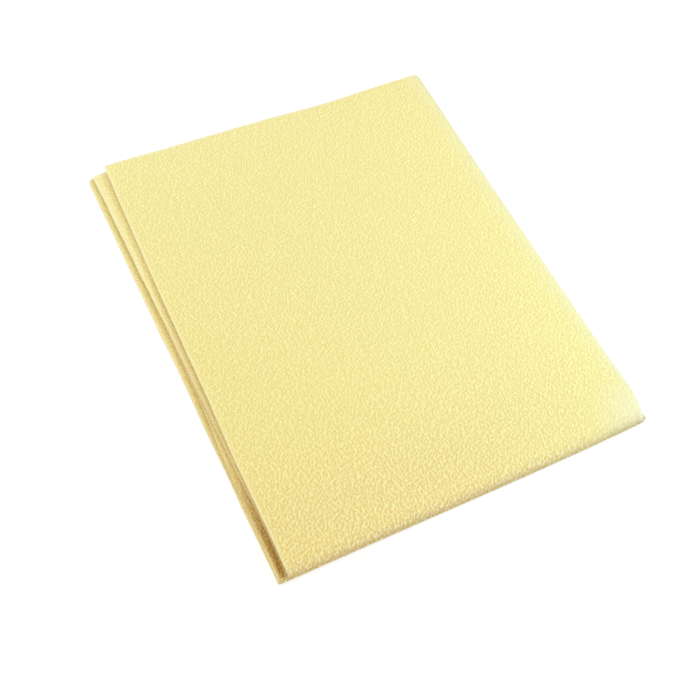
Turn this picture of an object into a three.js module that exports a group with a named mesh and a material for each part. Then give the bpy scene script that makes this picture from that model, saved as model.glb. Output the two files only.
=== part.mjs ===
// A synthetic chamois cloth, folded twice to a quarter of its size and lying flat.
// Units are millimetres and +Z is up. The origin is in the middle of the underside of the folded cloth's box.
//
// The sheet was first folded in half along its front line, and then in half again along its right-hand side.
// So four panels lie on each other: the top, the upper inner, the lower inner and the bottom panel.
// Two folds lie at the front, one over the other. Two more lie at the side, one inside the other.
// Where the front folds meet the side folds, they sweep round the corner with them.
// The cloth opens along the side like a book, so everything that bends there is parted at its crease.
import * as THREE from "three";

// Driving dimensions of the folded cloth
const PANEL_WIDTH = 198; // the top panel's left cut edge to the outside of the side fold
const PANEL_LENGTH = 248; // the top panel's back cut edge to the outside of the front fold
const SHEET_THICKNESS = 1.4;
const LAYER_GAP = 0.4; // air between two panels that lie on each other
const SEAM_GAP = 0.3; // between a panel and the fold that carries on from it
const CREASE_HALF_ANGLE = THREE.MathUtils.degToRad(4); // each half of a side fold stops this short of its crease
const ARC_FACETS = 8; // flats in a quarter turn

// The sheet wasn't folded quite square, so the cut edges of the layers below don't line up with the top panel's.
// OUT is how far a corner lies to the left of the top panel's left edge.
// IN is how far a back corner lies in front of the top panel's back edge.
const UPPER_INNER_BACK_OUT = 7.2;
const UPPER_INNER_BACK_IN = 4.3;
const LOWER_FRONT_OUT = 5; // the lower front fold's end, where both lower panels start
const LOWER_INNER_BACK_OUT = 3;
const LOWER_INNER_BACK_IN = 5;
const BOTTOM_BACK_OUT = 10;
const BOTTOM_BACK_IN = 5.2;

// The look of the sheet
const CLOTH_COLOUR = 0xf3e6a2;
const CLOTH_ROUGHNESS = 0.95;

// Sizes that follow from the ones above
const layerPitch = SHEET_THICKNESS + LAYER_GAP;
const foldBore = LAYER_GAP / 2; // inside of a fold that joins two neighbouring panels
const foldRadius = foldBore + SHEET_THICKNESS; // and its outside
const sideBore = foldBore + layerPitch; // inside of the outer side fold, which wraps the inner one
const sideRadius = foldRadius + layerPitch; // and its outside
const creaseHeight = sideRadius; // half the height of the four layers
const bendX = PANEL_WIDTH - sideRadius; // where the panels run into the side folds
const bendY = foldRadius; // where the panels run into the front folds
const quarterTurn = Math.PI / 2;

function clothPiece(name, geometry) {
  const material = new THREE.MeshStandardMaterial({
    color: CLOTH_COLOUR,
    roughness: CLOTH_ROUGHNESS,
    metalness: 0,
  });
  const piece = new THREE.Mesh(geometry, material);
  piece.name = name;
  return piece;
}

// One flat quarter of the sheet. Layer 0 is the lowest.
function panel(name, layer, frontOut, backOut, backIn) {
  const outline = new THREE.Shape([
    new THREE.Vector2(-frontOut, bendY + SEAM_GAP),
    new THREE.Vector2(bendX - SEAM_GAP, bendY + SEAM_GAP),
    new THREE.Vector2(bendX - SEAM_GAP, PANEL_LENGTH),
    new THREE.Vector2(-backOut, PANEL_LENGTH - backIn),
  ]);
  const slab = new THREE.ExtrudeGeometry(outline, { depth: SHEET_THICKNESS, bevelEnabled: false });
  const piece = clothPiece(name, slab);
  piece.position.z = layer * layerPitch;
  return piece;
}

// The section of a bent sheet, between two angles about the middle of the bend.
function bentSection(bore, radius, from, to) {
  const section = new THREE.Shape();
  section.absarc(0, 0, radius, from, to, false);
  section.absarc(0, 0, bore, to, from, true);
  section.closePath();
  return section;
}

// A half round along the front edge that joins one layer to the layer above it.
function frontFold(name, lowerLayer, leftOut) {
  const section = bentSection(foldBore, foldRadius, quarterTurn, 3 * quarterTurn);
  const bead = new THREE.ExtrudeGeometry(section, {
    depth: bendX - SEAM_GAP + leftOut,
    bevelEnabled: false,
    curveSegments: 2 * ARC_FACETS,
  });
  const piece = clothPiece(name, bead);
  piece.rotation.set(quarterTurn, quarterTurn, 0); // section x to +Y, section y to +Z, depth to +X
  piece.position.set(-leftOut, bendY, lowerLayer * layerPitch + foldRadius);
  return piece;
}

// The angles that one half of a side fold covers, about the crease line's own level.
function halfTurn(upper) {
  return upper ? [CREASE_HALF_ANGLE, quarterTurn] : [-quarterTurn, -CREASE_HALF_ANGLE];
}

// One half of a fold along the right-hand side, below or above its crease.
function sideFold(name, bore, radius, upper) {
  const [from, to] = halfTurn(upper);
  const bead = new THREE.ExtrudeGeometry(bentSection(bore, radius, from, to), {
    depth: PANEL_LENGTH - bendY - SEAM_GAP,
    bevelEnabled: false,
    curveSegments: ARC_FACETS,
  });
  const piece = clothPiece(name, bead);
  piece.rotation.x = quarterTurn; // section x to +X, section y to +Z, depth to -Y
  piece.position.set(bendX, PANEL_LENGTH, creaseHeight);
  return piece;
}

// The line that the middle of a front fold follows round the side.
class CornerArc extends THREE.Curve {
  constructor(from, to) {
    super();
    this.from = from;
    this.to = to;
  }
  getPoint(share, target = new THREE.Vector3()) {
    const angle = THREE.MathUtils.lerp(this.from, this.to, share);
    return target.set(layerPitch * Math.cos(angle), 0, layerPitch * Math.sin(angle));
  }
}

// One half of the corner, where the front fold is itself folded round the side.
function cornerFold(name, upper) {
  // On this path the section's x runs to the front, and its y runs out of the bend.
  const section = bentSection(foldBore, foldRadius, -quarterTurn, quarterTurn);
  const sweep = new THREE.ExtrudeGeometry(section, {
    steps: ARC_FACETS,
    extrudePath: new CornerArc(...halfTurn(upper)),
    curveSegments: ARC_FACETS,
  });
  const piece = clothPiece(name, sweep);
  piece.position.set(bendX, bendY, creaseHeight);
  return piece;
}

// The half of the cloth that stays on the table when the cloth is opened
const lowerHalf = new THREE.Group();
lowerHalf.add(
  panel("bottom_panel", 0, LOWER_FRONT_OUT, BOTTOM_BACK_OUT, BOTTOM_BACK_IN),
  panel("lower_inner_panel", 1, LOWER_FRONT_OUT, LOWER_INNER_BACK_OUT, LOWER_INNER_BACK_IN),
  frontFold("lower_front_fold", 0, LOWER_FRONT_OUT),
  sideFold("outer_side_fold_lower", sideBore, sideRadius, false),
  sideFold("inner_side_fold_lower", foldBore, foldRadius, false),
  cornerFold("corner_fold_lower", false),
);

// The half that swings over to the right
const upperHalf = new THREE.Group();
upperHalf.add(
  panel("upper_inner_panel", 2, 0, UPPER_INNER_BACK_OUT, UPPER_INNER_BACK_IN),
  panel("top_panel", 3, 0, 0, 0),
  frontFold("upper_front_fold", 2, 0),
  sideFold("outer_side_fold_upper", sideBore, sideRadius, true),
  sideFold("inner_side_fold_upper", foldBore, foldRadius, true),
  cornerFold("corner_fold_upper", true),
);

const foldedCloth = new THREE.Group();
foldedCloth.add(lowerHalf, upperHalf);

// The origin goes to the middle of the underside.
const middle = new THREE.Box3().setFromObject(foldedCloth).getCenter(new THREE.Vector3());
foldedCloth.position.set(-middle.x, -middle.y, 0);

const part = new THREE.Group();
part.add(foldedCloth);

export default part;
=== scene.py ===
# %% [markdown]
# A folded synthetic chamois cloth.
# The real thing is one thick sheet of matt yellow nonwoven. It was folded in half along its front line
# and then in half again along its right-hand side, so four layers lie on each other. The layout of the
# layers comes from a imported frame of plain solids, and this lesson makes the sheet itself: one unbroken
# mesh that runs through all four layers and round every fold.

# %% Load the frame
import math

import bmesh
import bpy
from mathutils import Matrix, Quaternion, Vector, noise


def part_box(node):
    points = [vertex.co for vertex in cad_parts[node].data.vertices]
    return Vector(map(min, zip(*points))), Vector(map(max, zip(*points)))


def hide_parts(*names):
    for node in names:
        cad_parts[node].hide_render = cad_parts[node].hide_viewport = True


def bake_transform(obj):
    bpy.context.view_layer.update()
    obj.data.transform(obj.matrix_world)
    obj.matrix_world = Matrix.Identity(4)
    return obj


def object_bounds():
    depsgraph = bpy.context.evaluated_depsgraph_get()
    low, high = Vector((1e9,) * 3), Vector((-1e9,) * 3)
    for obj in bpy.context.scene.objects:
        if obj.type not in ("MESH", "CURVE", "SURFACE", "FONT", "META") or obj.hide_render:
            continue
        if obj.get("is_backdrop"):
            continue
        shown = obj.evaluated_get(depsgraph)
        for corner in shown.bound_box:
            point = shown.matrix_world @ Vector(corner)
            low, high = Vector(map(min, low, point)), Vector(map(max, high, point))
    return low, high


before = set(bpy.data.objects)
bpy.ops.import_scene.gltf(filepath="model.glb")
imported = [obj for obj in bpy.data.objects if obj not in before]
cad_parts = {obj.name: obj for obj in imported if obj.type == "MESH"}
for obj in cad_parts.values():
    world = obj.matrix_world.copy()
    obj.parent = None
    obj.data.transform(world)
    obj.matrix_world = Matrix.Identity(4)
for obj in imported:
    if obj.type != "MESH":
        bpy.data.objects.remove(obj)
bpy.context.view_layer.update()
scene = bpy.context.scene
MM = 0.001


def in_mm(lengths):
    """Lengths in millimetres, rounded for printing."""
    return [round(length / MM, 2) for length in lengths]


print("solids in the frame:", len(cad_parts))

# %% [markdown]
# The camera comes first, because every later choice is judged through it. It could be aimed by eye, but a
# small slip would spoil every comparison. So its place, its view angle and its roll were worked out from
# the straight sides of the cloth in the photo. The picture is square, so the view angle is the same both
# ways.

# %% The camera
VIEW_ANGLE = math.radians(41.59)
CAMERA_PLACE = Vector((-157.6, -218.6, 402.7)) * MM
CAMERA_TARGET = Vector((-17.1, -28.9, 0)) * MM
CAMERA_ROLL = math.radians(12.14)


def photo_camera():
    data = bpy.data.cameras.new("photo_camera")
    data.sensor_fit = "HORIZONTAL"
    data.angle = VIEW_ANGLE
    camera = bpy.data.objects.new("photo_camera", data)
    level_look = (CAMERA_TARGET - CAMERA_PLACE).to_track_quat("-Z", "Y")
    camera.rotation_mode = "QUATERNION"
    camera.rotation_quaternion = level_look @ Quaternion((0, 0, 1), CAMERA_ROLL)
    camera.location = CAMERA_PLACE
    scene.collection.objects.link(camera)
    return camera


scene.camera = photo_camera()
print("camera lens in mm:", round(scene.camera.data.lens, 2))

# %% [markdown]
# The four panels of the folded sheet are solids in the frame. A panel is a slightly skewed rectangle,
# because nobody folds a cloth quite square. Its left corners say where the sheet's cut edges lie, and the
# middle of its thickness is the level that the mesh of the thin sheet follows. These places could be
# typed in, but when they are read from the solids, the cloth follows any change to them.

# %% Where the panels lie
TOP = ("upper", "outer")
UPPER_INNER = ("upper", "inner")
LOWER_INNER = ("lower", "inner")
BOTTOM = ("lower", "outer")


class Panel:
    """One quarter of the sheet: its left corners and its level, read from its solid in the frame."""

    def __init__(self, node):
        corners = [vertex.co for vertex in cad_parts[node].data.vertices]
        low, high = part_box(node)
        self.level = (low.z + high.z) / 2
        self.front_left = min(corners, key=lambda point: point.x + point.y).copy()
        self.back_left = max(corners, key=lambda point: point.y - point.x).copy()


PANELS = {
    TOP: Panel("top_panel"),
    UPPER_INNER: Panel("upper_inner_panel"),
    LOWER_INNER: Panel("lower_inner_panel"),
    BOTTOM: Panel("bottom_panel"),
}
top_low, top_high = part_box("top_panel")
THICKNESS = top_high.z - top_low.z
FRONT_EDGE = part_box("upper_front_fold")[0].y + THICKNESS / 2
RIGHT_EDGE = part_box("outer_side_fold_upper")[1].x - THICKNESS / 2
BACK_EDGE = top_high.y
print("levels in mm:", in_mm(panel.level for panel in PANELS.values()))

# %% [markdown]
# The cut edges of a soft sheet aren't quite where the straight edges of the solids are. Each left edge
# lies a little further in, by one amount at the front and another at the back, and the top layer's edge
# is bowed. The back corners at the left are shifted as well, and those of the lower layers are worn
# round. The edges could be pulled into place by hand, but a few amounts for each layer are easier to read
# and to change.

# %% Where the cut edges lie
LEFT_EDGE_BOW = 0.5 * MM
LEFT_SETBACK = {
    TOP: (0.1 * MM, 0.8 * MM),
    UPPER_INNER: (0.3 * MM, 0.6 * MM),
    LOWER_INNER: (0.7 * MM, 0.5 * MM),
    BOTTOM: (0.7 * MM, 0.3 * MM),
}
BACK_SHIFT = {TOP: -0.5 * MM, UPPER_INNER: 0.8 * MM, LOWER_INNER: 0.6 * MM, BOTTOM: 2.2 * MM}
BACK_CORNER_RADIUS = {TOP: 0.3 * MM, UPPER_INNER: 0.9 * MM, LOWER_INNER: 1 * MM, BOTTOM: 3 * MM}


def blend_between(start, end, share):
    return start + (end - start) * share


def left_edge(quarter, along_share):
    """Where a layer's left cut edge lies, at a share of the way from its front fold to its back edge."""
    panel = PANELS[quarter]
    edge = blend_between(panel.front_left.x, panel.back_left.x, along_share)
    edge += blend_between(*LEFT_SETBACK[quarter], along_share)
    if quarter == TOP:
        edge -= LEFT_EDGE_BOW * math.sin(math.pi * along_share)
    return edge


def rounding_off(inside_one, inside_other, radius):
    """How far a point near a corner moves in from both edges, to make the corner a quarter circle."""
    first = radius - inside_one
    second = radius - inside_other
    if first <= 0 or second <= 0:
        return 0, 0
    excess = 1 - max(first, second) / math.hypot(first, second)
    return first * excess, second * excess


print("left edges at the front in mm:", in_mm(left_edge(quarter, 0) for quarter in PANELS))
print("left edges at the back in mm:", in_mm(left_edge(quarter, 1) for quarter in PANELS))

# %% [markdown]
# A springy cloth doesn't crease sharply, so its folds stand a little higher than the flat stack. The rise
# dies away over a few centimetres. It is greatest at the back, where the cut end of the fold is free to
# spring open. Along the left, away from the front fold, the cut edges sink on to the layer below. All
# this could be sculpted, but each of these heights only fades with the distance from its fold or edge, so
# it is enough to add them up.

# %% How the folds spring up
SIDE_RISE = 1.2 * MM
BACK_END_RISE = 1.7 * MM
FRONT_RISE = 2 * MM
SIDE_RISE_REACH = 60 * MM
BACK_END_REACH = 90 * MM
FRONT_RISE_REACH = 40 * MM
SIDE_SHARE = {TOP: 1, UPPER_INNER: 0.2, LOWER_INNER: 0, BOTTOM: 0}
FRONT_SHARE = {TOP: 1, UPPER_INNER: 0.1, LOWER_INNER: 0, BOTTOM: 0}

EDGE_DROP = {TOP: 0.35 * MM, UPPER_INNER: 0.8 * MM, LOWER_INNER: 0.25 * MM, BOTTOM: 0}
EDGE_DROP_REACH = 14 * MM
EDGE_DROP_START = 120 * MM
OVERHANG_DROP = 0.5 * MM
OVERHANG_REACH = 4 * MM


def fade(distance, reach):
    """1 at no distance, falling smoothly to 0 at the reach."""
    share = min(max(distance / reach, 0), 1)
    return 0.5 + 0.5 * math.cos(math.pi * share)


def rise(quarter, from_side, from_front, from_back, from_left):
    """How far a layer stands above its level near the folds, or below it near its cut edge."""
    side = SIDE_RISE + BACK_END_RISE * fade(from_back, BACK_END_REACH)
    side_rise = side * fade(from_side, SIDE_RISE_REACH) * SIDE_SHARE[quarter]
    front_rise = FRONT_RISE * fade(from_front, FRONT_RISE_REACH) * FRONT_SHARE[quarter]
    free_share = 1 - fade(from_front, EDGE_DROP_START)
    drop = EDGE_DROP[quarter] * fade(from_left, EDGE_DROP_REACH) * free_share
    return side_rise + front_rise - drop


def overhang_drop(quarter, place_x, along_share):
    """The upper inner layer bends down where it hangs over the cut edge of the layer below."""
    if quarter != UPPER_INNER:
        return 0
    overhang = left_edge(LOWER_INNER, along_share) - place_x
    return OVERHANG_DROP * (1 - fade(overhang, OVERHANG_REACH))


print("rise at the middle of the side fold in mm:", in_mm([rise(TOP, 0, BACK_EDGE, BACK_EDGE, RIGHT_EDGE)]))

# %% [markdown]
# The sheet is measured from the point where its two fold lines cross. Across is the way over the side
# fold, and along is the way over the front fold. A cloth simulation could fold the sheet, but its layers
# would slide, and the edges wouldn't end where they lie in the photo. So a function says where each point
# of the flat sheet ends up. At the side the outer layer turns in a wide loop, and the inner layer turns
# in a tight one inside it. The cut edges stray from a straight line, in short nicks and in long sweeps.

# %% Fold over the side
HALF_WIDTH = 200 * MM
HALF_LENGTH = 250 * MM
QUARTER_TURN = math.pi / 2
SIDE_TURN = {"outer": 6.6 * MM, "inner": 2.2 * MM}
SIDE_REACH = {"outer": 4.2 * MM, "inner": 1.5 * MM}
SIDE_INSET = {"outer": 0.5 * MM, "inner": 2.3 * MM}
FRONT_REACH = {"upper": 1.6 * MM, "lower": 1.5 * MM}
FRONT_REACH_BLEND = 30 * MM
FRONT_BOW = 0.7 * MM
SHORT_WANDER = 0.18 * MM
SHORT_WANDER_LENGTH = 9 * MM
LONG_WANDER = 0.5 * MM
LONG_WANDER_LENGTH = 38 * MM
SWEEP_DEPTH = 5
BACK_ROW_STEP = 0.5


def wander(distance, row):
    """How far a cut edge strays from its line. Each edge has a row of its own in the noise."""
    nick = noise.noise(Vector((distance / SHORT_WANDER_LENGTH, row, 0)))
    sweep = noise.noise(Vector((distance / LONG_WANDER_LENGTH, row, SWEEP_DEPTH)))
    return SHORT_WANDER * nick + LONG_WANDER * sweep


def front_reach(half, across):
    """How far a front fold stands out from the line where it starts to bend."""
    middle = (FRONT_REACH["upper"] + FRONT_REACH["lower"]) / 2
    return blend_between(FRONT_REACH[half], middle, fade(across, FRONT_REACH_BLEND))


def side_folded(half, face, across, along_share):
    """The place of a point once its layer is folded over the side. The front fold comes after it."""
    quarter = (half, face)
    turn = SIDE_TURN[face]
    bend_x = RIGHT_EDGE - SIDE_INSET[face] - SIDE_REACH[face]
    across_share = max(0, (across - turn) / (HALF_WIDTH - turn))
    row = PANELS[quarter].level / MM
    left_x = left_edge(quarter, along_share) + wander(along_share * HALF_LENGTH, row)
    back_y = blend_between(BACK_EDGE, PANELS[quarter].back_left.y + BACK_SHIFT[quarter], across_share)
    back_y += wander(across_share * HALF_WIDTH, row + BACK_ROW_STEP)
    bow = FRONT_BOW * math.sin(math.pi * (1 - across / HALF_WIDTH) ** 2)
    start_y = FRONT_EDGE + front_reach(half, across) - bow
    flat_x = blend_between(bend_x, left_x, across_share)
    place = Vector((0, blend_between(start_y, back_y, along_share), 0))
    corner = BACK_CORNER_RADIUS[quarter]
    move_right, move_forward = rounding_off(flat_x - left_x, back_y - place.y, corner)
    flat_x += move_right
    place.y -= move_forward

    def height(layer):
        lift = rise(layer, bend_x - flat_x, place.y - start_y, back_y - place.y, flat_x - left_x)
        return PANELS[layer].level + lift - overhang_drop(layer, flat_x, along_share)

    angle = QUARTER_TURN * min(across / turn, 1)
    place.x = flat_x + SIDE_REACH[face] * math.cos(angle)
    place.z = height(quarter)
    if across < turn:
        other = ("lower" if half == "upper" else "upper", face)
        middle = (height(quarter) + height(other)) / 2
        place.z = blend_between(middle, place.z, math.sin(angle))
    return place


print("outermost point of the side fold in mm:", in_mm(side_folded("upper", "outer", 0, 0.5)))

# %% [markdown]
# The front fold joins an outer layer to an inner one. Both of their places are known by now, so a point
# in the fold swings from the one to the other in a half turn, and stands out to the front halfway. A bent
# tube along the front would look alike from far off, but its grain would break off at the seams.

# %% Fold over the front
FRONT_TURN = 3 * MM


def share_along(flat):
    """How far a point of the flat sheet lies from the front fold, as a share of the way to the cut edge."""
    return max(0, (abs(flat.y) - FRONT_TURN) / (HALF_LENGTH - FRONT_TURN))


def folded(flat):
    """Where a point of the flat sheet lies once the sheet is folded twice."""
    half = "upper" if flat.x >= 0 else "lower"
    across = abs(flat.x)
    along_share = share_along(flat)
    swing = QUARTER_TURN * min(max(flat.y / FRONT_TURN, -1), 1)
    outer_share = (1 + math.sin(swing)) / 2
    outer = side_folded(half, "outer", across, along_share)
    inner = side_folded(half, "inner", across, along_share)
    place = inner.lerp(outer, outer_share)
    place.y -= front_reach(half, across) * math.cos(swing)
    return place


FOLD_CROSSING = Vector((0, 0, 0))
print("the fold lines cross at, in mm:", in_mm(folded(FOLD_CROSSING)))

# %% [markdown]
# Where both folds meet, the side fold is drawn in by the front fold inside it, so the right edge bends
# inwards over its last two centimetres. The corner itself is rounded a little. The top layer is rounded
# most, and the end of the lower fold stays as a small ear below it. This could go into the folding
# function too, but as a second pass over the folded points each of the two stays short.

# %% Draw in the thick corner
TOP_CORNER_PULL = 4 * MM
LOW_CORNER_PULL = 1.6 * MM
CORNER_PULL_LENGTH = 18 * MM
CORNER_PULL_WIDTH = 40 * MM
CORNER_PULL_POWER = 1.7
TOP_CORNER_RADIUS = 3 * MM
LOW_CORNER_RADIUS = 0.5 * MM
EAR_LENGTH = 3.4 * MM
EAR_LEVEL = 2.3 * MM
EAR_REACH = 5 * MM
EAR_HEIGHT = 1.7 * MM


def ear_share(place):
    """1 at the end of the lower fold in the corner, falling to 0 around it."""
    beside = fade(RIGHT_EDGE - place.x, EAR_REACH) * fade(place.y - FRONT_EDGE, EAR_REACH)
    return beside * fade(abs(place.z - EAR_LEVEL), EAR_HEIGHT)


def corner_drawn_in(place):
    from_right = RIGHT_EDGE - place.x
    from_front = place.y - FRONT_EDGE
    height_share = min(max(place.z / PANELS[TOP].level, 0), 1) ** 2
    front_share = max(0, 1 - from_front / CORNER_PULL_LENGTH)
    pull = blend_between(LOW_CORNER_PULL, TOP_CORNER_PULL, height_share) * front_share ** CORNER_PULL_POWER
    radius = blend_between(LOW_CORNER_RADIUS, TOP_CORNER_RADIUS, height_share)
    move_left, move_back = rounding_off(from_right, from_front, radius)
    drawn = place + Vector((-move_left, move_back, 0))
    drawn.x -= pull * fade(from_right, CORNER_PULL_WIDTH)
    drawn.x += EAR_LENGTH * ear_share(place)
    return drawn


print("after drawing in they cross at, in mm:", in_mm(corner_drawn_in(folded(FOLD_CROSSING))))

# %% [markdown]
# The flat sheet starts as a plain grid. A fine grid all over would be heavy, so extra rows are cut only
# where the sheet bends and along its cut edges. The turns are then round and the edges crisp, while the
# flat stretches stay light.

# %% The flat sheet
CELLS_ACROSS = 124
CELLS_ALONG = 156
WIDE_TURN_ROWS = 9
TIGHT_TURN_ROWS = 8
EDGE_ROWS = (0.4 * MM, 1.2 * MM, 2.2 * MM)
SAME_POINT = 1e-7


def turn_rows(turn, count):
    return [turn * (row + 1) / count for row in range(count)]


def cut_rows(grid, axis, offsets):
    """Cuts the grid along lines square to one axis, at these distances from its middle, on both sides."""
    normal = Vector((0, 0, 0))
    normal[axis] = 1
    for offset in offsets:
        for place in (normal * offset, -normal * offset):
            everything = grid.verts[:] + grid.edges[:] + grid.faces[:]
            bmesh.ops.bisect_plane(grid, geom=everything, dist=SAME_POINT, plane_co=place, plane_no=normal)


def flat_sheet():
    grid = bmesh.new()
    bmesh.ops.create_grid(grid, x_segments=CELLS_ACROSS, y_segments=CELLS_ALONG, size=1)
    bmesh.ops.scale(grid, verts=grid.verts, vec=(HALF_WIDTH, HALF_LENGTH, 1))
    cut_rows(grid, 0, turn_rows(SIDE_TURN["outer"], WIDE_TURN_ROWS))
    cut_rows(grid, 0, turn_rows(SIDE_TURN["inner"], TIGHT_TURN_ROWS))
    cut_rows(grid, 0, [HALF_WIDTH - row for row in EDGE_ROWS])
    cut_rows(grid, 1, turn_rows(FRONT_TURN, WIDE_TURN_ROWS))
    cut_rows(grid, 1, [HALF_LENGTH - row for row in EDGE_ROWS])
    return grid


sheet = flat_sheet()
print("faces in the flat sheet:", len(sheet.faces))

# %% [markdown]
# The finish differs from place to place, and some light and shade is painted on, so some shares between
# 0 and 1 are noted for each point, and the materials use them later. They could be painted by hand, but
# shares that are worked out from distances follow every change of the shape. The first one is pressure:
# the cutter pressed the rim of the sheet smooth, and so did the side fold with its inner crease. Both are
# also painted paler; along the cut edges that paleness is a painted highlight on the rim.

# %% Where the sheet is pressed and its rim painted lighter
PRESSED_AND_LIT_WIDTH = {TOP: 2 * MM, UPPER_INNER: 4.2 * MM, LOWER_INNER: 2 * MM, BOTTOM: 2.4 * MM}
CREASE_WIDTH = 4 * MM
CREASE_START = 12 * MM


def quarter_of(flat):
    """The layer that a point of the flat sheet ends up in."""
    return ("upper" if flat.x >= 0 else "lower", "outer" if flat.y >= 0 else "inner")


def from_cut(flat):
    """How far a point of the flat sheet lies from the nearest cut edge."""
    return min(HALF_WIDTH - abs(flat.x), HALF_LENGTH - abs(flat.y))


def pressed_and_lit_share(flat):
    """How pressed a point is and how much it is painted paler: along the cut edges, and in the side fold's
    crease.
    """
    rim = fade(from_cut(flat), PRESSED_AND_LIT_WIDTH[quarter_of(flat)])
    inside = 1 - fade(-flat.y, CREASE_START)
    return max(rim, inside * fade(abs(flat.x), CREASE_WIDTH))


inner_crease = Vector((0, -HALF_LENGTH / 2, 0))
print("pressed share in the inner crease:", pressed_and_lit_share(inner_crease))

# %% [markdown]
# The outside of the side fold is painted paler, and the top round the thick corner most of all: a
# painted highlight, as if more light fell on the right side and on the corner. A paler patch with a
# hard outline would look like a stain, so the share fades with the distance from the fold and from the
# corner.

# %% Where a highlight is painted
HIGHLIGHT_REACH = 14 * MM
HIGHLIGHT_SIDE = 0.6
HIGHLIGHT_CORNER_REACH = 38 * MM


def painted_highlight_share(flat, place):
    """How much painted highlight a point gets: outside the side fold, and on top round the thick corner."""
    if quarter_of(flat) != TOP:
        return 0
    from_right = RIGHT_EDGE - place.x
    from_corner = math.hypot(from_right, place.y - FRONT_EDGE)
    return max(HIGHLIGHT_SIDE * fade(from_right, HIGHLIGHT_REACH), fade(from_corner, HIGHLIGHT_CORNER_REACH))


print("rubbed share at the corner:", round(painted_highlight_share(FOLD_CROSSING, folded(FOLD_CROSSING)), 2))

# %% [markdown]
# The steps, where a layer stands out from under the one above, get a painted shade: the cloth is painted
# a darker, warmer gold there. There is more of it towards the front, and most in the deep step at the
# front left. The rendered shade alone would leave the steps too grey. The painted shade lies beside the
# edge of the layer above, so it is worked out from that edge.

# %% Where shade is painted in the steps
LAYERS_ABOVE = {
    TOP: (),
    UPPER_INNER: (TOP,),
    LOWER_INNER: (TOP, UPPER_INNER),
    BOTTOM: (UPPER_INNER, LOWER_INNER),
}
FRONT_STEP_SHADE = 0.42
BACK_STEP_SHADE = 0.29
STEP_REACH = 3.6 * MM
DEEP_START = 2 * MM
DEEP_END = 4.1 * MM
DEEP_LENGTH = 90 * MM
SHADE_INSIDE = 3 * MM
SHADE_FREE_FRONT = 2.6 * MM


def painted_shade_share(flat, place):
    """How much painted shade a point gets: most beside the edge of the layer above."""
    quarter = quarter_of(flat)
    along_share = share_along(flat)
    if not LAYERS_ABOVE[quarter]:
        return 0
    outside = min(left_edge(above, along_share) for above in LAYERS_ABOVE[quarter]) - place.x
    covered = fade(-outside, SHADE_INSIDE)
    step = blend_between(FRONT_STEP_SHADE, BACK_STEP_SHADE, along_share) * fade(outside, STEP_REACH) * covered
    from_front = place.y - FRONT_EDGE
    if quarter == UPPER_INNER:
        return step
    if quarter == BOTTOM:
        return step * (1 - fade(from_front, DEEP_LENGTH))
    deep = fade(outside - DEEP_START, DEEP_END - DEEP_START) * covered * fade(from_front, DEEP_LENGTH)
    return max(step, deep) * (1 - fade(from_front, SHADE_FREE_FRONT))


# The share of painted shade in the deep step at the front left.
deep_step = Vector((DEEP_END - HALF_WIDTH, -2 * DEEP_END, 0))
print("dust in the deep step:", round(painted_shade_share(deep_step, folded(deep_step)), 2))

# %% [markdown]
# Now the sheet is folded, point by point. Each point also keeps its place on the flat sheet as an
# attribute, so the grain can follow the cloth round its folds. The grain opens where the sheet is bent
# round the front, and its crests are painted paler there as painted light. The ear in the corner gets a
# painted shade. A vertex group says where the sheet has its full thickness: everywhere but along the cut
# edges, where the cutter pinched it. The group's weights stay a little above zero, so that no later
# rounding can push them below.

# %% Fold it
OPENED_REACH = 5 * MM
EAR_SHADE = 0.7
PINCH_WIDTH = 2.5 * MM
RIM_WEIGHT = 0.01
FLAT_PLACE = "flat_place"
PAINTED_SHADE = "painted_shade"
OPENED_AND_LIT = "opened_and_lit"
PRESSED_AND_LIT = "pressed_and_lit"
PAINTED_HIGHLIGHT = "painted_highlight"
FULL_THICKNESS = "full thickness"


def fold_sheet(grid):
    flat_place = grid.verts.layers.float_vector.new(FLAT_PLACE)
    painted_shade = grid.verts.layers.float.new(PAINTED_SHADE)
    opened_and_lit = grid.verts.layers.float.new(OPENED_AND_LIT)
    pressed_and_lit = grid.verts.layers.float.new(PRESSED_AND_LIT)
    painted_highlight = grid.verts.layers.float.new(PAINTED_HIGHLIGHT)
    groups = grid.verts.layers.deform.verify()
    for vertex in grid.verts:
        flat = vertex.co.copy()
        place = folded(flat)
        vertex.co = corner_drawn_in(place)
        vertex[flat_place] = flat
        # Painted shade in the steps and on the ear in the corner.
        vertex[painted_shade] = max(painted_shade_share(flat, vertex.co), EAR_SHADE * ear_share(place))
        vertex[opened_and_lit] = fade(abs(flat.y), OPENED_REACH)
        vertex[pressed_and_lit] = pressed_and_lit_share(flat)
        vertex[painted_highlight] = painted_highlight_share(flat, place)
        vertex[groups][0] = blend_between(1, RIM_WEIGHT, fade(from_cut(flat), PINCH_WIDTH))
    for face in grid.faces:
        face.smooth = True


def object_from(grid, name):
    """Turns an edit mesh into an object of the scene."""
    mesh = bpy.data.meshes.new(name)
    grid.to_mesh(mesh)
    grid.free()
    made = bpy.data.objects.new(name, mesh)
    scene.collection.objects.link(made)
    return made


fold_sheet(sheet)
cloth = object_from(sheet, "chamois_cloth")
cloth.vertex_groups.new(name=FULL_THICKNESS)
print("points in the sheet:", len(cloth.data.vertices))

# %% [markdown]
# The sheet is thick for a cloth, and its cut edges show. Both faces could be modelled, but a Solidify
# modifier grows them from the one thin mesh. It keeps the rim thinner, as the vertex group says, and
# gives it a material of its own. A narrow bevel then takes the hardness off the cut edges.

# %% Give it its thickness and soft cut edges
PINCHED_SHARE = 0.6
CUT_ROUNDING = 0.25 * MM
CUT_ROUNDING_STEPS = 2
SHARP_ANGLE = math.radians(60)

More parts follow.
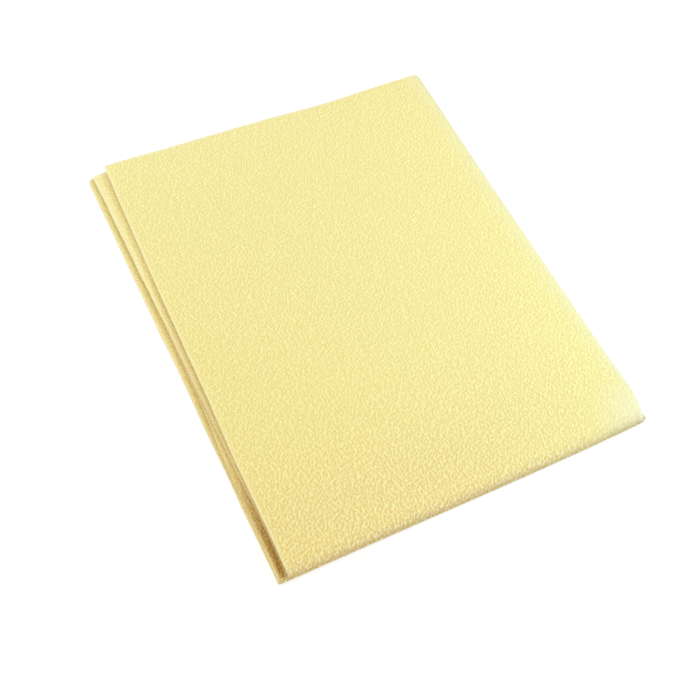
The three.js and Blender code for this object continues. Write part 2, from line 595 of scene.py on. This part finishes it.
body = cloth.modifiers.new("thickness", "SOLIDIFY")
body.thickness = THICKNESS
body.offset = 0
body.vertex_group = FULL_THICKNESS
body.thickness_vertex_group = PINCHED_SHARE
body.use_rim = True
body.material_offset_rim = 1
rounding = cloth.modifiers.new("soft cut edges", "BEVEL")
rounding.width = CUT_ROUNDING
rounding.segments = CUT_ROUNDING_STEPS
rounding.limit_method = "ANGLE"
rounding.angle_limit = SHARP_ANGLE
print("thickness of the sheet in mm:", in_mm([body.thickness]))

# %% [markdown]
# A material is a tree of nodes. A few helpers keep the trees short: one adds a node, one links an output
# to a socket or sets the socket to a plain value, and the others make the kinds of node that come again
# and again. The trees could be written out link by link, but then the finish is lost among the links.

# %% Helpers for materials


def add_node(tree, kind, **settings):
    node = tree.nodes.new(kind)
    for name, value in settings.items():
        setattr(node, name, value)
    return node


def feed(tree, socket, value):
    """Links an output to a socket, or sets the socket to a plain value."""
    if isinstance(value, bpy.types.NodeSocket):
        tree.links.new(value, socket)
    else:
        socket.default_value = value


def calculate(tree, operation, *values, clamp=False):
    """The result of one calculation with these values."""
    node = add_node(tree, "ShaderNodeMath", operation=operation, use_clamp=clamp)
    for socket, value in zip(node.inputs, values):
        feed(tree, socket, value)
    return node.outputs["Value"]


def ramp(tree, value, start, end, low=0, high=1, curve="SMOOTHSTEP"):
    """A value that runs from low to high while another one runs from start to end."""
    node = add_node(tree, "ShaderNodeMapRange", interpolation_type=curve)
    settings = {"Value": value, "From Min": start, "From Max": end, "To Min": low, "To Max": high}
    for name, setting in settings.items():
        feed(tree, node.inputs[name], setting)
    return node.outputs["Result"]


def mix_colours(tree, first, second, share, blend_type="MIX"):
    node = add_node(tree, "ShaderNodeMix", data_type="RGBA", blend_type=blend_type)
    for name, setting in {"A": first, "B": second, "Factor": share}.items():
        feed(tree, node.inputs[name], setting)
    return node.outputs["Result"]


def split_up(tree, vector):
    """The node that gives a vector's parts."""
    node = add_node(tree, "ShaderNodeSeparateXYZ")
    feed(tree, node.inputs["Vector"], vector)
    return node


print("helpers:", [helper.__name__ for helper in (add_node, feed, calculate, ramp, mix_colours, split_up)])

# %% [markdown]
# The face of the cloth is covered by short worm-like ridges, about two millimetres apart, in a felt of
# fine fibres. Plain noise makes blotches and a cell texture makes pebbles. Waves of one length that run
# in many directions at once make ridges of just this kind, and the Gabor texture adds up such waves. Most
# of them run one way, and the fibres break them up. One group serves the faces and the cut edges, so they
# are plainly the same stuff.

# %% The worm grain
WORM_CELL = 1.86 * MM
WORM_STRETCH = 1.2
WORM_TURN = math.radians(25)
WORM_WAVES = 1
WORM_ORDER = 0.35
FIBRE_SCALE = 2.4
FIBRE_DETAIL = 3
FIBRE_SHARE = 0.5
HOLLOW_END = 0.55
CREST_END = 0.95
FLECK_SCALE = 2.6
FLECK_DETAIL = 1
FLECK_LOW = 0.3
FLECK_HIGH = 0.7


def felt(tree, place, scale, detail):
    """A fine noise, as in a felt of fibres."""
    node = add_node(tree, "ShaderNodeTexNoise", noise_dimensions="2D")
    for name, setting in {"Vector": place, "Scale": scale, "Detail": detail}.items():
        feed(tree, node.inputs[name], setting)
    return node.outputs["Fac"]


def worm_waves(tree, place):
    node = add_node(tree, "ShaderNodeTexGabor", gabor_type="2D")
    settings = {"Scale": 1, "Frequency": WORM_WAVES, "Anisotropy": WORM_ORDER, "Orientation": 0}
    for name, setting in {"Vector": place, **settings}.items():
        feed(tree, node.inputs[name], setting)
    return node.outputs["Value"]


def grain_group():
    tree = bpy.data.node_groups.new("Worm grain", "ShaderNodeTree")
    tree.interface.new_socket("Place", in_out="INPUT", socket_type="NodeSocketVector")
    for name in ("Ridges", "Fibres", "Flecks"):
        tree.interface.new_socket(name, in_out="OUTPUT", socket_type="NodeSocketFloat")
    entry = add_node(tree, "NodeGroupInput")
    leave = add_node(tree, "NodeGroupOutput")
    turn = add_node(tree, "ShaderNodeMapping", vector_type="TEXTURE")
    turn.inputs["Rotation"].default_value = (0, 0, WORM_TURN)
    turn.inputs["Scale"].default_value = (WORM_CELL, WORM_CELL * WORM_STRETCH, WORM_CELL)
    feed(tree, turn.inputs["Vector"], entry.outputs["Place"])
    place = turn.outputs["Vector"]
    fibres = felt(tree, place, FIBRE_SCALE, FIBRE_DETAIL)
    flecks = felt(tree, place, FLECK_SCALE, FLECK_DETAIL)
    broken_worms = calculate(tree, "MULTIPLY_ADD", fibres, FIBRE_SHARE, worm_waves(tree, place))
    feed(tree, leave.inputs["Ridges"], ramp(tree, broken_worms, HOLLOW_END, CREST_END))
    feed(tree, leave.inputs["Fibres"], fibres)
    feed(tree, leave.inputs["Flecks"], ramp(tree, flecks, FLECK_LOW, FLECK_HIGH, curve="LINEAR"))
    return tree


GRAIN = grain_group()
print("grain nodes:", len(GRAIN.nodes))

# %% [markdown]
# The cloth is a pale yellow: lemon on the crests of its ridges and warmer in the hollows between them,
# with small flecks that lean to peach or to lemon. At the front left the hollows are painted warmer and
# darker still, a painted shade. One flat colour would look like plastic, and a picture of cloth would
# repeat and bring its own light along. So the crests and the hollows get a colour each, and the places
# that were noted for each point are mixed in one after the other: painted highlights on the rim, on the
# right and round the front fold, and painted shade in the steps and on the ear.

# %% The cloth's colours
# Paler colour on pressed places; along the cut edges it is a painted highlight on the rim.
PRESSED_LIGHT_COLOUR = (0.965, 0.905, 0.55, 1)
PRESSED_LIGHT_MOST = 0.6
# A painted highlight: paler on the outside of the side fold and round the thick corner.
HIGHLIGHT_COLOUR = (0.94, 0.895, 0.56, 1)
HIGHLIGHT_MOST = 0.75
# Crests round the front fold are painted paler: painted light on the fold's shaded front face.
OPENED_LIGHT_COLOUR = (0.99, 0.97, 0.66, 1)
OPENED_LIGHT_MOST = 0.7
OPENED_HOLLOW_DARKENING = 0.15
# Dark, warm colours that paint shade into the steps and on to the ear.
PAINTED_SHADE_CREST_COLOUR = (0.56, 0.36, 0.075, 1)
PAINTED_SHADE_HOLLOW_COLOUR = (0.31, 0.16, 0.018, 1)
PEACH_TINT = (1, 0.937, 0.8, 1)
LEMON_TINT = (0.95, 1, 1.12, 1)
# A painted shade: the hollows at the front left are tinted warmer and darker.
FRONT_LEFT_SHADE_TINT = (0.985, 0.87, 0.91, 1)
FRONT_LEFT_SHADE_REACH = 85 * MM
FRONT_LEFT_SHADE_START = 25 * MM
FRONT_LEFT_SHADE_END = 110 * MM


def noted(tree, name):
    """A share that was noted for each point of the sheet."""
    return add_node(tree, "ShaderNodeAttribute", attribute_name=name).outputs["Fac"]


def front_left_shade_share(tree, place):
    """Painted shade: 1 at a panel's front left, falling to 0 away from the front fold and towards the side
    fold.
    """
    parts = split_up(tree, place)
    from_front = calculate(tree, "ABSOLUTE", parts.outputs["Y"])
    from_side = calculate(tree, "ABSOLUTE", parts.outputs["X"])
    at_front = ramp(tree, from_front, FRONT_LEFT_SHADE_REACH, 0)
    at_left = ramp(tree, from_side, FRONT_LEFT_SHADE_START, FRONT_LEFT_SHADE_END)
    return calculate(tree, "MULTIPLY", at_front, at_left)


def chamois_colour(tree, place, grain, crest_colour, hollow_colour):
    painted_shade = noted(tree, PAINTED_SHADE)
    opened_and_lit = noted(tree, OPENED_AND_LIT)
    # The pressed rim is painted paler: a painted highlight.
    pressed_and_lit = calculate(tree, "MULTIPLY", noted(tree, PRESSED_AND_LIT), PRESSED_LIGHT_MOST)
    painted_highlight = calculate(tree, "MULTIPLY", noted(tree, PAINTED_HIGHLIGHT), HIGHLIGHT_MOST)
    crest = mix_colours(tree, crest_colour, PRESSED_LIGHT_COLOUR, pressed_and_lit)
    crest = mix_colours(tree, crest, HIGHLIGHT_COLOUR, painted_highlight)
    # Paler crests round the front fold: painted light.
    crest = mix_colours(tree, crest, OPENED_LIGHT_COLOUR, calculate(tree, "MULTIPLY", opened_and_lit, OPENED_LIGHT_MOST))
    crest = mix_colours(tree, crest, PAINTED_SHADE_CREST_COLOUR, painted_shade)
    # The hollows take the painted shade, and darken where the grain is opened round the front fold.
    hollow_darkening = calculate(tree, "MULTIPLY_ADD", opened_and_lit, OPENED_HOLLOW_DARKENING, painted_shade, clamp=True)
    hollow = mix_colours(tree, hollow_colour, FRONT_LEFT_SHADE_TINT, front_left_shade_share(tree, place), "MULTIPLY")
    hollow = mix_colours(tree, hollow, PRESSED_LIGHT_COLOUR, pressed_and_lit)
    hollow = mix_colours(tree, hollow, HIGHLIGHT_COLOUR, painted_highlight)
    hollow = mix_colours(tree, hollow, PAINTED_SHADE_HOLLOW_COLOUR, hollow_darkening)
    plain = mix_colours(tree, hollow, crest, grain.outputs["Ridges"])
    tint = mix_colours(tree, PEACH_TINT, LEMON_TINT, grain.outputs["Flecks"])
    return mix_colours(tree, plain, tint, 1, "MULTIPLY")


print("shares that the colours use:", [PAINTED_SHADE, OPENED_AND_LIT, PRESSED_AND_LIT, PAINTED_HIGHLIGHT])

# %% [markdown]
# The ridges stand up a little too. To move real points for them would take millions of faces, and at this
# distance a bump gives the same look. It is deeper where the grain is opened and shallower where it is
# pressed. The fibres make the cloth quite dull, and their fuzz catches light at a flat angle, which the
# shader's sheen gives. The cut edges get a finish of their own, paler and more even than the faces.

# %% The cloth's two finishes
CREST_COLOUR = (0.995, 0.93, 0.4, 1)
HOLLOW_COLOUR = (0.885, 0.755, 0.252, 1)
CUT_CREST_COLOUR = (0.985, 0.93, 0.5, 1)
CUT_HOLLOW_COLOUR = (0.95, 0.86, 0.41, 1)
GRAIN_HEIGHT = 0.2 * MM
FIBRE_RELIEF = 0.35
OPENED_RELIEF = 2
PRESSED_RELIEF = 0.7
DULLNESS = 0.95
SHINE = 0.2
FUZZ = 0.6
FUZZ_DULLNESS = 0.6
FUZZ_COLOUR = (1, 0.96, 0.78, 1)


def chamois_relief(tree, grain):
    bare = calculate(tree, "MULTIPLY_ADD", grain.outputs["Fibres"], FIBRE_RELIEF, grain.outputs["Ridges"])
    depth = calculate(tree, "MULTIPLY_ADD", noted(tree, OPENED_AND_LIT), OPENED_RELIEF, 1)
    depth = calculate(tree, "MULTIPLY_ADD", noted(tree, PRESSED_AND_LIT), -PRESSED_RELIEF, depth)
    bump = add_node(tree, "ShaderNodeBump")
    bump.inputs["Distance"].default_value = GRAIN_HEIGHT
    feed(tree, bump.inputs["Height"], calculate(tree, "MULTIPLY", bare, depth))
    return bump.outputs["Normal"]


def chamois_material(name, crest_colour, hollow_colour):
    material = bpy.data.materials.new(name)
    material.use_nodes = True
    tree = material.node_tree
    shader = tree.nodes["Principled BSDF"]
    shader.inputs["Roughness"].default_value = DULLNESS
    shader.inputs["Specular IOR Level"].default_value = SHINE
    shader.inputs["Sheen Weight"].default_value = FUZZ
    shader.inputs["Sheen Roughness"].default_value = FUZZ_DULLNESS
    shader.inputs["Sheen Tint"].default_value = FUZZ_COLOUR
    place = add_node(tree, "ShaderNodeAttribute", attribute_name=FLAT_PLACE).outputs["Vector"]
    grain = add_node(tree, "ShaderNodeGroup", node_tree=GRAIN)
    feed(tree, grain.inputs["Place"], place)
    colour = chamois_colour(tree, place, grain, crest_colour, hollow_colour)
    feed(tree, shader.inputs["Base Color"], colour)
    feed(tree, shader.inputs["Normal"], chamois_relief(tree, grain))
    return material


cloth.data.materials.append(chamois_material("chamois_face", CREST_COLOUR, HOLLOW_COLOUR))
cloth.data.materials.append(chamois_material("chamois_cut", CUT_CREST_COLOUR, CUT_HOLLOW_COLOUR))
print("finishes:", [material.name for material in cloth.data.materials])

# %% [markdown]
# The sheet crosses the joint along the side, and two separate halves would gape at the crease. So the
# one sheet would be parted by height, between the two inner layers: what lies below would stay, what
# lies above would swing over, and the short stretch between them would bend. This cell only works out
# the two heights of that stretch; it also bakes the cloth's place into its mesh and hides the solids.

# %% The heights where the sheet would bend
BEND_ABOVE_LOWER = 0.05 * MM
BEND_BELOW_UPPER = 1.35 * MM
LOWER_TOP = PANELS[LOWER_INNER].level + BEND_ABOVE_LOWER
UPPER_BOTTOM = PANELS[UPPER_INNER].level - BEND_BELOW_UPPER
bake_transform(cloth)
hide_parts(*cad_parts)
print("the sheet bends between these heights in mm:", in_mm([LOWER_TOP, UPPER_BOTTOM]))

# %% [markdown]
# The cloth lies on a plain pale table. A pure white one would throw too much light back on to the edges.
# So the table is a light grey that glows for the camera alone: it looks white, more so further out, and
# still takes the cloth's soft shadow.

# %% The table
FLOOR_HALF = 3
FLOOR_COLOUR = (0.78, 0.78, 0.78, 1)
FLOOR_GLOW_COLOUR = (0.76, 0.87, 1, 1)
NEAR_GLOW = 0.44
FAR_GLOW = 1
NEAR_REACH = 0.16
FAR_REACH = 0.5


def table_material():
    material = bpy.data.materials.new("table_white")
    material.use_nodes = True
    tree = material.node_tree
    shader = tree.nodes["Principled BSDF"]
    shader.inputs["Base Color"].default_value = FLOOR_COLOUR
    shader.inputs["Roughness"].default_value = 1
    shader.inputs["Specular IOR Level"].default_value = 0
    shader.inputs["Emission Color"].default_value = FLOOR_GLOW_COLOUR
    distance = add_node(tree, "ShaderNodeVectorMath", operation="LENGTH")
    feed(tree, distance.inputs[0], add_node(tree, "ShaderNodeTexCoord").outputs["Object"])
    glow = ramp(tree, distance.outputs["Value"], NEAR_REACH, FAR_REACH, NEAR_GLOW, FAR_GLOW)
    seen = add_node(tree, "ShaderNodeLightPath").outputs["Is Camera Ray"]
    feed(tree, shader.inputs["Emission Strength"], calculate(tree, "MULTIPLY", seen, glow))
    return material


def white_table():
    grid = bmesh.new()
    bmesh.ops.create_grid(grid, x_segments=1, y_segments=1, size=FLOOR_HALF)
    table = object_from(grid, "table")
    table.data.materials.append(table_material())
    return table


white_table()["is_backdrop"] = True
print("width of the table in m:", 2 * FLOOR_HALF)

# %% [markdown]
# Most of the light comes from a wide dome, as in a white tent, and this is a world with a colour for each
# direction. A few big lamps could stand in for it, but their shadows would show. The dome is brightest
# overhead, brighter at the front and the left than behind, and warmest at the left. The camera itself
# sees plain white behind the table.

# %% The light of the dome
LEFT_SKY_COLOUR = (1, 0.79, 0.52, 1)
RIGHT_SKY_COLOUR = (1, 0.885, 0.74, 1)
HORIZON_LEVEL = 0.45
ZENITH_LEVEL = 1.085
SKY_LEAN = (-0.3, -0.45, 0)
WHITE = (1, 1, 1, 1)


def sky_level(tree, direction, height):
    """How bright the dome is: more overhead, and more on the side that it leans to."""
    lean = add_node(tree, "ShaderNodeVectorMath", operation="DOT_PRODUCT")
    lean.inputs[1].default_value = SKY_LEAN
    feed(tree, lean.inputs[0], direction)
    gain = calculate(tree, "ADD", lean.outputs["Value"], 1)
    plain = ramp(tree, height, 0, 1, HORIZON_LEVEL, ZENITH_LEVEL, curve="LINEAR")
    return calculate(tree, "MULTIPLY", plain, gain)


def sky():
    world = bpy.data.worlds.new("studio")
    world.use_nodes = True
    tree = world.node_tree
    direction = add_node(tree, "ShaderNodeTexCoord").outputs["Generated"]
    parts = split_up(tree, direction)
    side = ramp(tree, parts.outputs["X"], -1, 1, curve="LINEAR")
    light = tree.nodes["Background"]
    feed(tree, light.inputs["Color"], mix_colours(tree, LEFT_SKY_COLOUR, RIGHT_SKY_COLOUR, side))
    feed(tree, light.inputs["Strength"], sky_level(tree, direction, parts.outputs["Z"]))
    white = add_node(tree, "ShaderNodeBackground")
    white.inputs["Color"].default_value = WHITE
    backdrop = add_node(tree, "ShaderNodeMixShader")
    feed(tree, backdrop.inputs["Fac"], add_node(tree, "ShaderNodeLightPath").outputs["Is Camera Ray"])
    feed(tree, backdrop.inputs[1], light.outputs["Background"])
    feed(tree, backdrop.inputs[2], white.outputs["Background"])
    feed(tree, tree.nodes["World Output"].inputs["Surface"], backdrop.outputs["Shader"])
    return world


scene.world = sky()
scene.view_settings.view_transform = "Standard"
print("nodes of the dome:", len(scene.world.node_tree.nodes))

# %% [markdown]
# The right side of the cloth is paler and cooler than the left. The dome alone is too even for that, so a
# cool lamp stands close at the right, and the steps at the left lie in a warm shade. A weaker one stands
# behind at the left. Both are wide, so their shadows stay soft.

# %% The lamps
KEY_COLOUR = (0.34, 0.64, 1)
KEY_PLACE = Vector((0.34, -0.13, 0.28))
KEY_SIZE = 0.3
KEY_POWER = 1.35
FILL_COLOUR = (0.3, 0.56, 1)
FILL_PLACE = Vector((-0.24, 0.33, 0.3))
FILL_SIZE = 0.3
FILL_POWER = 1


def lamp(name, place, size, power, colour):
    """A square lamp that is turned to the middle of the cloth."""
    data = bpy.data.lights.new(name, "AREA")
    data.size = size
    data.energy = power
    data.color = colour
    light = bpy.data.objects.new(name, data)
    light.location = place
    light.rotation_mode = "QUATERNION"
    light.rotation_quaternion = (-place).to_track_quat("-Z", "Y")
    scene.collection.objects.link(light)
    return light


key = lamp("key", KEY_PLACE, KEY_SIZE, KEY_POWER, KEY_COLOUR)
fill = lamp("fill", FILL_PLACE, FILL_SIZE, FILL_POWER, FILL_COLOUR)
print("lamps:", key.name, fill.name)

# %% [markdown]
# Last, the box round the dressed cloth is measured, with the table left out. It may stand out past them
# only a little. Its springy folds stand out a little past the solids at the top.

# %% Measure the dressed cloth
visual_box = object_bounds()
print("visual box in mm:", [in_mm(corner) for corner in visual_box])
